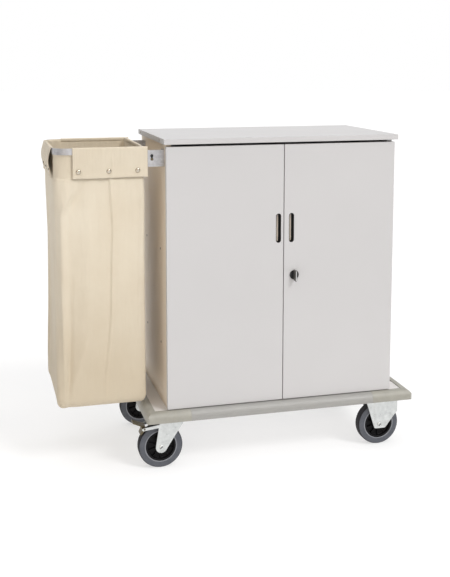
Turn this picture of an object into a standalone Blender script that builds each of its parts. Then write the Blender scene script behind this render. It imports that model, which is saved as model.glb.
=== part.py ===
"""Housekeeping cart in metres, +Z up, floor at z = 0, front towards -Y.

A two-door board cabinet stands on a base with bumper rails and four 160 mm casters.
A laundry bag hangs on a flat-bar frame at the left (-X) end.
The origin is on the floor, under the middle of the whole cart.
"""

from math import cos, pi, radians, sin

import bmesh
import bpy
from mathutils import Matrix, Vector

# Driving dimensions
OVERALL_LENGTH = 1.318
BASE_LENGTH = 1.012
BASE_DEPTH = 0.550
BASE_BOTTOM = 0.180
BASE_TOP = 0.216
CABINET_WIDTH = 0.850
CABINET_DEPTH = 0.488
BASE_BEYOND_DOORS = 0.083
BASE_BEFORE_DOORS = 0.0275
DOOR_BOTTOM = 0.219
DOOR_TOP = 1.1515
TOP_UNDERSIDE = 1.160
BOARD = 0.019
BACK_BOARD = 0.010
WHEEL_RADIUS = 0.080
GAP = 0.0003

# Places that follow from them
RIGHT_END = OVERALL_LENGTH / 2
BAG_LEFT = -OVERALL_LENGTH / 2
BASE_LEFT = RIGHT_END - BASE_LENGTH
BASE_SIDE = BASE_DEPTH / 2
DOORS_RIGHT = RIGHT_END - BASE_BEYOND_DOORS
DOORS_LEFT = DOORS_RIGHT - CABINET_WIDTH
FRONT = -BASE_SIDE + BASE_BEFORE_DOORS
BACK = FRONT + CABINET_DEPTH
DOOR_BACK = FRONT + BOARD
CARCASS_FRONT = DOOR_BACK + 0.002
SIDE_INSET = 0.0028
SIDE_LEFT_OUTER = DOORS_LEFT + SIDE_INSET
SIDE_RIGHT_OUTER = DOORS_RIGHT - SIDE_INSET
SIDE_LEFT_INNER = SIDE_LEFT_OUTER + BOARD
SIDE_RIGHT_INNER = SIDE_RIGHT_OUTER - BOARD

# Base: the rail's section is (distance out from its inner lip, height above the base's bottom)
RAIL_OUT = 0.034
RAIL_HEIGHT = BASE_TOP - BASE_BOTTOM
LIP = 0.0027
GROOVE_OUT = 0.020
DECK_UNDERSIDE = 0.194
DECK_TOP = DECK_UNDERSIDE + BOARD
DECK_INSET = RAIL_OUT - GROOVE_OUT + GAP
CORNER_LEG = 0.160
CORNER_RADIUS = 0.014
SEAM = 0.0005

# Doors, pulls and lock
DOOR_MEETING = DOORS_LEFT + 0.4265
DOOR_GAP = 0.003
PULL_WIDTH = 0.019
PULL_HEIGHT = 0.106
PULL_DEPTH = 0.016
PULL_Z = 0.852
PULL_LEFT_X = DOOR_MEETING - 0.0200
PULL_RIGHT_X = DOOR_MEETING + 0.0288
LOCK_X = DOORS_LEFT + 0.4665
LOCK_Z = 0.680
KNOB_RADIUS = 0.020
HINGE_HEIGHTS = {"lower": 0.330, "upper": 1.040}
HINGE_CUP_RADIUS = 0.0175
HINGE_CUP_IN = 0.024
SHELF_HEIGHTS = {"lower": 0.430, "upper": 0.775}

# Bag and its frame
BAR_THICK = 0.004
BAR_LOW = 1.128
BAR_HIGH = 1.150
BAR_LEFT = BAG_LEFT + 0.0050
BAR_RIGHT = DOORS_LEFT - 0.0680
BAR_SIDE = 0.203
FLAP_SIDE = 0.2065
FLAP_LOW = 1.046
FLAP_THICK = 0.0028
RIM_TOP = 1.153
BAG_BOTTOM = 0.236
BAG_WALL = 0.003
BAG_RIGHT = DOORS_LEFT - 0.0620
STUD_X = DOORS_LEFT - 0.0420
STUD_Z = 1.107
LIFT = 0.012

# Casters
CASTER_Y = 0.209
SWIVEL_X = DOORS_LEFT + 0.0200
TRAIL = 0.0422
FIXED_X = DOORS_LEFT + 0.8164
PLATE_TOP = DECK_UNDERSIDE - GAP
PLATE_THICK = 0.003
AXLE_RADIUS = 0.005
WHEEL_SEGMENTS = 24
LEG_THICK = 0.003
LEG_NEAR = 0.0260
LEG_FAR = 0.0290


def srgb(red, green, blue):
    """A display colour, 0 to 255 a channel, as linear numbers."""
    return tuple((c / 255) ** 2.2 for c in (red, green, blue))


def material(name, colour, roughness, metallic=0.0):
    made = bpy.data.materials.new(name)
    made.use_nodes = True
    shader = made.node_tree.nodes["Principled BSDF"]
    shader.inputs["Base Color"].default_value = (*srgb(*colour), 1.0)
    shader.inputs["Roughness"].default_value = roughness
    shader.inputs["Metallic"].default_value = metallic
    return made


MATERIALS = {
    "laminate": material("laminate", (213, 211, 209), 0.5),
    "inner_board": material("inner_board", (173, 156, 138), 0.6),
    "extrusion": material("extrusion", (184, 183, 181), 0.4),
    "bumper": material("bumper", (180, 178, 168), 0.6),
    "galvanised": material("galvanised", (205, 205, 212), 0.35, 1.0),
    "zinc": material("zinc", (227, 229, 226), 0.3, 1.0),
    "bronze": material("bronze", (120, 105, 85), 0.45, 1.0),
    "tyre": material("tyre", (93, 96, 103), 0.7),
    "black_plastic": material("black_plastic", (10, 9, 12), 0.4),
    "fabric": material("fabric", (228, 216, 196), 0.9),
}


def clear_scene():
    for obj in list(bpy.data.objects):
        bpy.data.objects.remove(obj)


def place(name, bm, finish):
    """Links a finished bmesh as an object with that name and material."""
    bmesh.ops.recalc_face_normals(bm, faces=bm.faces)
    mesh = bpy.data.meshes.new(name)
    bm.to_mesh(mesh)
    bm.free()
    obj = bpy.data.objects.new(name, mesh)
    obj.data.materials.append(MATERIALS[finish])
    bpy.context.scene.collection.objects.link(obj)
    return obj


def box(name, low, high, finish):
    """A board or block between two corners."""
    bm = bmesh.new()
    bmesh.ops.create_cube(bm, size=1.0)
    size = Vector(high) - Vector(low)
    middle = (Vector(high) + Vector(low)) / 2
    bmesh.ops.scale(bm, vec=size, verts=bm.verts)
    bmesh.ops.translate(bm, vec=middle, verts=bm.verts)
    return place(name, bm, finish)


def prism(name, outline, low, high, axis, finish):
    """An outline of (a, b) points pushed along an axis: (a, b) is (x, z) on Y and (x, y) on Z."""
    bm = bmesh.new()
    corner = {"Y": lambda a, b, c: (a, c, b), "Z": lambda a, b, c: (a, b, c)}[axis]
    face = bm.faces.new([bm.verts.new(corner(a, b, low)) for a, b in outline])
    pushed = bmesh.ops.extrude_face_region(bm, geom=[face])
    moved = [g for g in pushed["geom"] if isinstance(g, bmesh.types.BMVert)]
    bmesh.ops.translate(bm, vec=corner(0, 0, high - low), verts=moved)
    return place(name, bm, finish)


def turned(name, profile, centre, axis, finish, segments=WHEEL_SEGMENTS):
    """A closed profile of (radius, along) points turned about an axis through centre."""
    bm = bmesh.new()
    verts = [bm.verts.new((radius, 0, along)) for radius, along in profile]
    edges = [bm.edges.new(pair) for pair in zip(verts, verts[1:])]
    if profile[0][0] > 0 or profile[-1][0] > 0:
        edges.append(bm.edges.new((verts[-1], verts[0])))
    bmesh.ops.rotate(bm, verts=verts, cent=(0, 0, 0), matrix=Matrix.Rotation(pi / segments, 3, "Z"))
    bmesh.ops.spin(
        bm,
        geom=verts + edges,
        cent=(0, 0, 0),
        axis=(0, 0, 1),
        angle=2 * pi,
        steps=segments,
        use_merge=True,
    )
    bmesh.ops.remove_doubles(bm, verts=bm.verts, dist=1e-6)
    if axis == "Y":
        bmesh.ops.rotate(bm, verts=bm.verts, cent=(0, 0, 0), matrix=Matrix.Rotation(-pi / 2, 3, "X"))
    bmesh.ops.translate(bm, vec=centre, verts=bm.verts)
    obj = place(name, bm, finish)
    obj.data.shade_smooth()
    obj.data.set_sharp_from_angle(angle=radians(35))
    return obj


def rod(name, radius, start, end, centre, axis, finish, segments=16):
    """A plain round bar from start to end along the axis, measured from centre."""
    profile = [(0, start), (radius, start), (radius, end), (0, end)]
    return turned(name, profile, centre, axis, finish, segments)


def arc(centre, radius, start, end, steps, squash=1.0):
    """Points on an arc in degrees; squash scales its second coordinate."""
    points = []
    for i in range(steps + 1):
        angle = radians(start + (end - start) * i / steps)
        points.append((centre[0] + radius * cos(angle), centre[1] + radius * squash * sin(angle)))
    return points


def rounded_outline(left, right, low, high, left_radius, right_radius, steps):
    """A rectangle whose two left corners and two right corners have their own radii."""
    corners = [
        (right - right_radius, low + right_radius, right_radius, -90),
        (right - right_radius, high - right_radius, right_radius, 0),
        (left + left_radius, high - left_radius, left_radius, 90),
        (left + left_radius, low + left_radius, left_radius, 180),
    ]
    points = []
    for x, y, radius, start in corners:
        points += arc((x, y), radius, start, start + 90, steps)
    return points


def boolean(target, other, operation):
    """Cuts, joins or intersects target with other, which is then only a guide."""
    modifier = target.modifiers.new(other.name, "BOOLEAN")
    modifier.operation = operation
    modifier.solver = "EXACT"
    modifier.object = other
    other.hide_render = True
    other.display_type = "WIRE"
    return target


def cut(target, *others):
    for other in others:
        boolean(target, other, "DIFFERENCE")
    return target


def join(target, *others):
    for other in others:
        boolean(target, other, "UNION")
    return target


def pivot(name, point, parent=None):
    """An empty on a joint's axis; the moving pieces are parented to it."""
    empty = bpy.data.objects.new(name, None)
    bpy.context.scene.collection.objects.link(empty)
    empty.location = point
    bpy.context.view_layer.update()
    if parent:
        attach(parent, empty)
    return empty


def attach(parent, *children):
    """Parents each child where it stands."""
    bpy.context.view_layer.update()
    for child in children:
        child.parent = parent
        child.matrix_parent_inverse = parent.matrix_world.inverted()


# Base


def rail_section():
    """The bumper rail: a lip over the deck, a quarter-round nose and a skirt."""
    nose = arc((0.010, 0.008), 0.024, 90, 0, 7, squash=28 / 24)
    skirt = [(RAIL_OUT, 0.002), (0.032, 0.0), (0.029, 0.0), (0.029, 0.011)]
    ledge = DECK_UNDERSIDE - BASE_BOTTOM - GAP
    groove = [(0.012, 0.011), (0.012, ledge), (GROOVE_OUT, ledge), (GROOVE_OUT, RAIL_HEIGHT - LIP)]
    return [(0.0, RAIL_HEIGHT)] + nose + skirt + groove + [(0.0, RAIL_HEIGHT - LIP)]


def rail(name, path, outward, finish):
    """Sweeps the rail's section along a path of outer-edge points; outward is the offset at each."""
    bm = bmesh.new()
    rings = []
    for (x, y), (ox, oy) in zip(path, outward):
        ring = []
        for out, height in rail_section():
            back = out - RAIL_OUT
            ring.append(bm.verts.new((x + ox * back, y + oy * back, BASE_BOTTOM + height)))
        rings.append(ring)
    count = len(rings[0])
    for a, b in zip(rings, rings[1:]):
        for i in range(count):
            j = (i + 1) % count
            bm.faces.new((a[i], a[j], b[j], b[i]))
    bm.faces.new(rings[0])
    bm.faces.new(rings[-1])
    return place(name, bm, finish)


def base():
    deck_low = (BASE_LEFT + DECK_INSET, -BASE_SIDE + DECK_INSET, DECK_UNDERSIDE)
    deck_high = (RIGHT_END - DECK_INSET, BASE_SIDE - DECK_INSET, DECK_TOP)
    box("base_deck", deck_low, deck_high, "inner_board")
    run_left = BASE_LEFT + CORNER_LEG + SEAM
    run_right = RIGHT_END - CORNER_LEG - SEAM
    run_side = BASE_SIDE - CORNER_LEG - SEAM
    for name, side in (("front", -1), ("back", 1)):
        path = [(run_left, side * BASE_SIDE), (run_right, side * BASE_SIDE)]
        rail(f"bumper_rail_{name}", path, [(0, side), (0, side)], "extrusion")
    for name, x, side in (("left", BASE_LEFT, -1), ("right", RIGHT_END, 1)):
        path = [(x, -run_side), (x, run_side)]
        rail(f"bumper_rail_{name}", path, [(side, 0), (side, 0)], "extrusion")
    for depth_name, sy in (("front", -1), ("back", 1)):
        for side_name, x, sx in (("left", BASE_LEFT, -1), ("right", RIGHT_END, 1)):
            y = sy * BASE_SIDE
            path = [(x - sx * CORNER_LEG, y), (x, y), (x, y - sy * CORNER_LEG)]
            outward = [(0, sy), (sx, sy), (sx, 0)]
            corner = rail(f"bumper_corner_{depth_name}_{side_name}", path, outward, "bumper")
            outline = rounded_outline(
                BASE_LEFT, RIGHT_END, -BASE_SIDE, BASE_SIDE, CORNER_RADIUS, CORNER_RADIUS, 4
            )
            guide = prism("base_outline", outline, 0.15, 0.25, "Z", "bumper")
            boolean(corner, guide, "INTERSECT")


# Cabinet


def cabinet():
    side_low = DECK_TOP + GAP
    side_high = TOP_UNDERSIDE - GAP
    for name, left, right in (
        ("left", SIDE_LEFT_OUTER, SIDE_LEFT_INNER),
        ("right", SIDE_RIGHT_INNER, SIDE_RIGHT_OUTER),
    ):
        box(f"cabinet_side_{name}", (left, CARCASS_FRONT, side_low), (right, BACK, side_high), "laminate")
    left = SIDE_LEFT_INNER + GAP
    right = SIDE_RIGHT_INNER - GAP
    back = BACK - BACK_BOARD
    box("cabinet_back", (left, back, side_low), (right, BACK, side_high), "laminate")
    inside = back - GAP
    box("cabinet_floor", (left, CARCASS_FRONT, side_low), (right, inside, side_low + BOARD), "laminate")
    for name, middle in SHELF_HEIGHTS.items():
        low = (left, CARCASS_FRONT + 0.012, middle - BOARD / 2)
        high = (right, inside, middle + BOARD / 2)
        box(f"shelf_{name}", low, high, "laminate")
    top_low = (DOORS_LEFT - 0.0085, FRONT - 0.0061, TOP_UNDERSIDE)
    top_high = (DOORS_RIGHT + 0.0106, BACK + 0.0090, TOP_UNDERSIDE + BOARD)
    box("cabinet_top", top_low, top_high, "laminate")


# Doors, pulls, hinges and lock


def pull_outline(middle_x, half_width, half_height):
    """An upright slot with round ends."""
    straight = half_height - half_width
    top = arc((middle_x, PULL_Z + straight), half_width, 0, 180, 8)
    bottom = arc((middle_x, PULL_Z - straight), half_width, 180, 360, 8)
    return top + bottom


def pull_cup(name, middle_x):
    """A black cup let into the door: a closed back and a thin wall, open to the front."""
    half_width = PULL_WIDTH / 2
    half_height = PULL_HEIGHT / 2
    wall = 0.0018
    floor = 0.0020
    outer = pull_outline(middle_x, half_width - GAP, half_height - GAP)
    cup = prism(name, outer, FRONT + 0.0002, FRONT + PULL_DEPTH, "Y", "black_plastic")
    inner = pull_outline(middle_x, half_width - wall, half_height - wall)
    hollow = prism("pull_hollow", inner, FRONT - 0.005, FRONT + PULL_DEPTH - floor, "Y", "black_plastic")
    return cut(cup, hollow)


def hinge_pair(side_name, edge_x, inner_x, inward):
    """The two concealed hinges of a door: cups in the door, arms on the cabinet side."""
    cups = []
    for level, height in HINGE_HEIGHTS.items():
        centre = (edge_x + inward * HINGE_CUP_IN, DOOR_BACK, height)
        radius = HINGE_CUP_RADIUS - GAP
        profile = [
            (0, -0.0125),
            (radius, -0.0125),
            (radius, -0.0002),
            (radius - 0.0015, -0.0002),
            (radius - 0.0015, -0.0110),
            (0, -0.0110),
        ]
        name = f"hinge_cup_{side_name}_{level}"
        cups.append(turned(name, profile, centre, "Y", "zinc", segments=20))
        near = inner_x + inward * GAP
        plate_x = sorted((near, near + inward * 0.004))
        arm_x = sorted((near + inward * 0.003, near + inward * 0.016))
        plate_low = (plate_x[0], CARCASS_FRONT + 0.022, height - 0.022)
        plate_high = (plate_x[1], CARCASS_FRONT + 0.050, height + 0.022)
        plate = box(f"hinge_arm_{side_name}_{level}", plate_low, plate_high, "zinc")
        arm_low = (arm_x[0], CARCASS_FRONT + 0.002, height - 0.0075)
        arm_high = (arm_x[1], CARCASS_FRONT + 0.068, height + 0.0075)
        join(plate, box("hinge_arm_bar", arm_low, arm_high, "zinc"))
    return cups


def door(side_name, left, right, edge_x, inner_x, inward, pull_x):
    """A door with its pull cup and hinge cups, on an empty at its outer front edge."""
    panel = box(f"door_{side_name}", (left, FRONT, DOOR_BOTTOM), (right, DOOR_BACK, DOOR_TOP), "laminate")
    slot = pull_outline(pull_x, PULL_WIDTH / 2, PULL_HEIGHT / 2)
    cut(panel, prism("pull_slot", slot, FRONT - 0.01, FRONT + PULL_DEPTH + GAP, "Y", "laminate"))
    for height in HINGE_HEIGHTS.values():
        centre = (edge_x + inward * HINGE_CUP_IN, DOOR_BACK, height)
        cut(panel, rod("cup_bore", HINGE_CUP_RADIUS, -0.0128, 0.01, centre, "Y", "laminate", segments=20))
    hinge = pivot(f"door_{side_name}_hinge_axis", (edge_x, FRONT, DOOR_BOTTOM))
    cups = hinge_pair(side_name, edge_x, inner_x, inward)
    attach(hinge, panel, pull_cup(f"pull_cup_{side_name}", pull_x), *cups)
    return panel, hinge


def lock(right_panel, right_hinge, left_hinge):
    """A turn-knob lock in the right door; its cam reaches behind the keeper on the left door."""
    bore_radius = 0.0095
    centre = (LOCK_X, FRONT, LOCK_Z)
    cut(right_panel, rod("lock_bore", bore_radius, -0.01, 0.03, centre, "Y", "laminate", segments=24))
    housing_profile = [
        (0.0050, -0.0025),
        (0.0170, -0.0025),
        (0.0170, -GAP),
        (bore_radius - GAP, -GAP),
        (bore_radius - GAP, BOARD + 0.0010),
        (0.0050, BOARD + 0.0010),
    ]
    housing = turned("lock_housing", housing_profile, centre, "Y", "black_plastic", segments=24)
    knob_profile = [
        (0, -0.0150),
        (KNOB_RADIUS - 0.003, -0.0150),
        (KNOB_RADIUS, -0.0130),
        (KNOB_RADIUS, -0.0030),
        (0.0046, -0.0030),
        (0.0046, BOARD + 0.0080),
        (0, BOARD + 0.0080),
    ]
    knob = turned("lock_knob", knob_profile, centre, "Y", "black_plastic", segments=28)
    fin_outline = [
        (LOCK_X - 0.0035, LOCK_Z + 0.0170),
        (LOCK_X - 0.0035, LOCK_Z - 0.0180),
        (LOCK_X, LOCK_Z - 0.0225),
        (LOCK_X + 0.0035, LOCK_Z - 0.0180),
        (LOCK_X + 0.0035, LOCK_Z + 0.0170),
    ]
    join(knob, prism("lock_fin", fin_outline, FRONT - 0.0250, FRONT - 0.0120, "Y", "black_plastic"))
    cam_front = DOOR_BACK + 0.0035
    cam_outline = rounded_outline(LOCK_X - 0.008, LOCK_X + 0.008, LOCK_Z - 0.055, LOCK_Z + 0.008, 0.006, 0.006, 3)
    cam = prism("lock_cam", cam_outline, cam_front, cam_front + 0.003, "Y", "zinc")
    cut(cam, rod("cam_hole", 0.0050, -0.01, 0.01, (LOCK_X, cam_front, LOCK_Z), "Y", "zinc"))
    keeper_right = DOOR_MEETING - DOOR_GAP / 2 - 0.001
    keeper_low = (keeper_right - 0.022, DOOR_BACK + GAP, LOCK_Z - 0.020)
    keeper_high = (keeper_right, DOOR_BACK + 0.0018, LOCK_Z + 0.020)
    attach(left_hinge, box("lock_keeper", keeper_low, keeper_high, "zinc"))
    attach(right_hinge, housing)
    attach(pivot("lock_turn_axis", centre, right_hinge), knob, cam)


def doors():
    left_args = (DOORS_LEFT, DOOR_MEETING - DOOR_GAP / 2, DOORS_LEFT, SIDE_LEFT_INNER, 1, PULL_LEFT_X)
    right_args = (DOOR_MEETING + DOOR_GAP / 2, DOORS_RIGHT, DOORS_RIGHT, SIDE_RIGHT_INNER, -1, PULL_RIGHT_X)
    left_hinge = door("left", *left_args)[1]
    right_panel, right_hinge = door("right", *right_args)
    lock(right_panel, right_hinge, left_hinge)


# Bag frame, its brackets and the bag


def bracket(name, side):
    """An angle plate on the cabinet's left side, with a keyhole for the frame's headed stud."""
    near = side * BAR_SIDE + side * 0.0005
    far = near + side * 0.003
    face_x = SIDE_LEFT_OUTER - GAP
    low_z = 1.081
    high_z = 1.139
    plate_y = sorted((near, far))
    plate = box(name, (face_x - 0.059, plate_y[0], low_z), (face_x, plate_y[1], high_z), "galvanised")
    flange_y = sorted((far - side * 0.001, near - side * 0.047))
    flange = box(f"{name}_flange", (face_x - 0.003, flange_y[0], low_z), (face_x, flange_y[1], high_z), "galvanised")
    join(plate, flange)
    entry = (STUD_X, 0, STUD_Z + LIFT)
    slot_low = (STUD_X - 0.0034, -0.3, STUD_Z)
    slot_high = (STUD_X + 0.0034, 0.3, STUD_Z + LIFT)
    cut(
        plate,
        rod("keyhole_entry", 0.0058, -0.3, 0.3, entry, "Y", "galvanised"),
        box("keyhole_slot", slot_low, slot_high, "galvanised"),
        rod("keyhole_seat", 0.0034, -0.3, 0.3, (STUD_X, 0, STUD_Z), "Y", "galvanised"),
    )
    return plate


def frame_tongue(side):
    """The plate at a right-hand corner of the frame, with the stud that sits in a bracket."""
    outer = side * BAR_SIDE
    inner = outer - side * BAR_THICK
    tongue_y = sorted((outer, inner))
    low = (BAR_RIGHT - 0.006, tongue_y[0] + 0.00001, 1.095)
    high = (STUD_X + 0.011, tongue_y[1] - 0.00001, BAR_LOW + 0.008)
    tongue = box("frame_tongue", low, high, "galvanised")
    profile = [
        (0, -0.002),
        (0.0030, -0.002),
        (0.0030, 0.0040),
        (0.0050, 0.0040),
        (0.0044, 0.0058),
        (0, 0.0058),
    ]
    centre = (STUD_X, outer, STUD_Z)
    stud = turned("frame_stud", [(r, side * a) for r, a in profile], centre, "Y", "zinc", segments=16)
    return tongue, stud


def bag_frame():
    """A flat bar bent on edge into a ring: wide round corners outside, tight ones at the cabinet."""
    outer = rounded_outline(BAR_LEFT, BAR_RIGHT, -BAR_SIDE, BAR_SIDE, 0.052, 0.012, 6)
    inner = rounded_outline(
        BAR_LEFT + BAR_THICK,
        BAR_RIGHT - BAR_THICK,
        -BAR_SIDE + BAR_THICK,
        BAR_SIDE - BAR_THICK,
        0.048,
        0.008,
        6,
    )
    ring = prism("bag_frame", outer, BAR_LOW, BAR_HIGH, "Z", "galvanised")
    cut(ring, prism("ring_inside", inner, BAR_LOW - 0.01, BAR_HIGH + 0.01, "Z", "galvanised"))
    for side in (-1, 1):
        join(ring, *frame_tongue(side))
    return ring


def bag_ring(bm, height, spread, inset):
    """One level of the bag: spread 0 fits inside the frame, and 1 is the full body below it."""
    clear = BAR_THICK + 0.0006
    left = BAR_LEFT + clear + spread * (BAG_LEFT + 0.0055 - BAR_LEFT - clear)
    right = BAR_RIGHT - clear + spread * (BAG_RIGHT - 0.0010 - BAR_RIGHT + clear)
    side = BAR_SIDE - clear + spread * (0.0005 + clear)
    left_radius = max(0.050 - inset, 0.01)
    right_radius = max(0.020 - inset, 0.01)
    outline = rounded_outline(
        left + inset, right - inset, -side + inset, side - inset, left_radius, right_radius, 4
    )
    return [bm.verts.new((x, y, height)) for x, y in outline]


def bag_shell():
    """The cloth bag as one open-topped shell: outside from bottom to rim, then down the inside."""
    levels = [
        (1.1520, 0.0, 0.0),
        (1.1200, 0.0, 0.0),
        (1.0950, 0.4, 0.0),
        (1.0000, 0.9, 0.0),
        (0.6000, 1.0, 0.0),
        (0.2900, 1.0, 0.0),
        (0.2500, 1.0, 0.0060),
        (BAG_BOTTOM, 1.0, 0.0220),
    ]
    bm = bmesh.new()
    outside = [bag_ring(bm, height, spread, inset) for height, spread, inset in levels]
    inside = []
    for height, spread, inset in levels:
        level = max(height, BAG_BOTTOM + BAG_WALL)
        inside.append(bag_ring(bm, level, spread, inset + BAG_WALL))
    rings = list(reversed(outside)) + inside
    count = len(rings[0])
    for a, b in zip(rings, rings[1:]):
        for i in range(count):
            j = (i + 1) % count
            bm.faces.new((a[i], a[j], b[j], b[i]))
    bm.faces.new(rings[0])
    bm.faces.new(rings[-1])
    return place("bag", bm, "fabric")


def flap(name, outer_low, outer_high, side_axis, side):
    """A strip that folds from the rim over the bar and hangs outside it."""
    strip_low = list(outer_low)
    strip_high = list(outer_high)
    if side < 0:
        strip_high[side_axis] += 0.0105
    else:
        strip_low[side_axis] -= 0.0105
    strip_low[2] = BAR_HIGH + GAP
    sheet = box(f"flap_{name}", outer_low, outer_high, "fabric")
    return sheet, box(f"flap_top_{name}", strip_low, strip_high, "fabric")


def bag():
    shell = bag_shell()
    front_left = BAG_LEFT + 0.070
    front_right = BAG_RIGHT + 0.0020
    side_reach = 0.150
    thin = FLAP_THICK
    right_inner = BAR_RIGHT + 0.0010
    places = {
        "front": ((front_left, -FLAP_SIDE, FLAP_LOW), (front_right, -FLAP_SIDE + thin, RIM_TOP), 1, -1),
        "back": ((front_left, FLAP_SIDE - thin, FLAP_LOW), (front_right, FLAP_SIDE, RIM_TOP), 1, 1),
        "left": ((BAG_LEFT, -side_reach, FLAP_LOW), (BAG_LEFT + thin, side_reach, RIM_TOP), 0, -1),
        "right": ((right_inner, -side_reach, FLAP_LOW), (right_inner + thin, side_reach, RIM_TOP), 0, 1),
    }
    for name, (low, high, axis, side) in places.items():
        join(shell, *flap(name, low, high, axis, side))
    return shell


def bag_unit():
    brackets = [bracket("bag_bracket_front", -1), bracket("bag_bracket_back", 1)]
    lift = pivot("bag_frame_lift_axis", (STUD_X, 0, STUD_Z))
    attach(lift, bag_frame(), bag())
    return brackets


# Casters


def wheel(tag, centre, spin_axis):
    """A black hub and a grey tyre, both free to turn on the axle."""
    half = [
        (AXLE_RADIUS + GAP, 0.0268),
        (0.0170, 0.0268),
        (0.0185, 0.0130),
        (0.0240, 0.0075),
        (0.0440, 0.0075),
        (0.0480, 0.0185),
        (0.0543, 0.0185),
    ]
    profile = half + [(radius, -along) for radius, along in reversed(half)]
    hub = turned(f"hub_{tag}", profile, centre, "Y", "black_plastic")
    tread = WHEEL_RADIUS / cos(pi / WHEEL_SEGMENTS)
    half = [
        (0.0546, 0.0186),
        (0.0570, 0.0200),
        (0.0740, 0.0188),
        (tread - 0.0018, 0.0150),
        (tread, 0.0090),
    ]
    profile = half + [(radius, -along) for radius, along in reversed(half)]
    tyre = turned(f"tyre_{tag}", profile, centre, "Y", "tyre")
    attach(spin_axis, hub, tyre)


def axle(tag, centre):
    """A shouldered pin through both legs, with a flat head at each end and a slot in the front one."""
    reach = LEG_FAR + LEG_THICK / 2 + GAP
    profile = [
        (0, -reach - 0.0022),
        (0.0090, -reach - 0.0022),
        (0.0090, -reach),
        (AXLE_RADIUS, -reach),
        (AXLE_RADIUS, reach),
        (0.0090, reach),
        (0.0090, reach + 0.0022),
        (0, reach + 0.0022),
    ]
    return turned(f"axle_{tag}", profile, centre, "Y", "zinc", segments=16)


def leg_pair(name, steps, outline, centre):
    """Two pressed legs: steps gives (x, middle line's distance from the wheel plane) along the plate."""
    x, y, z = centre
    bm = bmesh.new()
    for side in (-1, 1):
        outer = [(x + a, y + side * (b + LEG_THICK / 2)) for a, b in steps]
        inner = [(x + a, y + side * (b - LEG_THICK / 2)) for a, b in reversed(steps)]
        face = bm.faces.new([bm.verts.new((px, py, z - 0.04)) for px, py in outer + inner])
        pushed = bmesh.ops.extrude_face_region(bm, geom=[face])
        moved = [g for g in pushed["geom"] if isinstance(g, bmesh.types.BMVert)]
        bmesh.ops.translate(bm, vec=(0, 0, 0.17), verts=moved)
    legs = place(name, bm, "zinc")
    shape = [(x + a, z + b) for a, b in outline]
    boolean(legs, prism(f"{name}_outline", shape, y - 0.06, y + 0.06, "Y", "zinc"), "INTERSECT")
    return legs


def axle_hole(centre):
    return rod("axle_hole", AXLE_RADIUS + GAP, -0.06, 0.06, centre, "Y", "zinc", segments=20)


def swivel_fork(tag, centre, pin_point):
    """Legs, brake arms and the swivel head in one pressing."""
    x, y, z = centre
    head_low = 0.1680
    leg_top = 0.1705 - z
    steps = [(-0.080, LEG_FAR), (0.016, LEG_FAR), (0.042, LEG_NEAR), (0.090, LEG_NEAR)]
    outline = (
        [(-0.0062, leg_top)]
        + [(-0.0062, 0.0835), (-0.064, 0.0755), (-0.070, 0.0715), (-0.066, 0.0655), (-0.009, 0.0720)]
        + arc((0, 0), 0.0205, 176, 325, 10)
        + [(0.0804, 0.0830), (0.0804, leg_top)]
    )
    fork = leg_pair(f"swivel_fork_{tag}", steps, outline, centre)
    head_x = x + TRAIL
    plate_low = (x - 0.0066, y - 0.0312, head_low)
    plate_high = (x + 0.0812, y + 0.0312, 0.1716)
    dome_profile = [
        (0.010, 0.1700),
        (0.0340, 0.1700),
        (0.0370, 0.1745),
        (0.0350, 0.1800),
        (0.0290, 0.1836),
        (0.010, 0.1836),
    ]
    dome = turned("swivel_dome", dome_profile, (head_x, y, 0), "Z", "zinc", segments=28)
    join(fork, box("fork_head", plate_low, plate_high, "zinc"), dome)
    kingpin_hole = rod("kingpin_hole", 0.0068, 0.15, 0.19, (head_x, y, 0), "Z", "zinc")
    pin_hole = rod("pedal_pin_hole", 0.0033, -0.06, 0.06, pin_point, "Y", "zinc")
    return cut(fork, kingpin_hole, axle_hole(centre), pin_hole)


def brake_pedal(tag, centre, pin_point):
    """A foot lever on a cross pin, with a shoe that hangs just clear of the tyre."""
    x, y, z = centre
    outline = [
        (-0.0545, 0.0765),
        (-0.0660, 0.0815),
        (-0.0990, 0.0950),
        (-0.1005, 0.0915),
        (-0.0720, 0.0790),
        (-0.0665, 0.0700),
        (-0.0672, 0.0640),
        (-0.0742, 0.0482),
        (-0.0709, 0.0460),
        (-0.0597, 0.0598),
        (-0.0605, 0.0650),
        (-0.0555, 0.0680),
    ]
    shape = [(x + a, z + b) for a, b in outline]
    pedal = prism(f"brake_pedal_{tag}", shape, y - 0.0185, y + 0.0185, "Y", "bronze")
    return join(pedal, rod("pedal_pin", 0.0030, -0.0320, 0.0320, pin_point, "Y", "bronze", segments=12))


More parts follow.
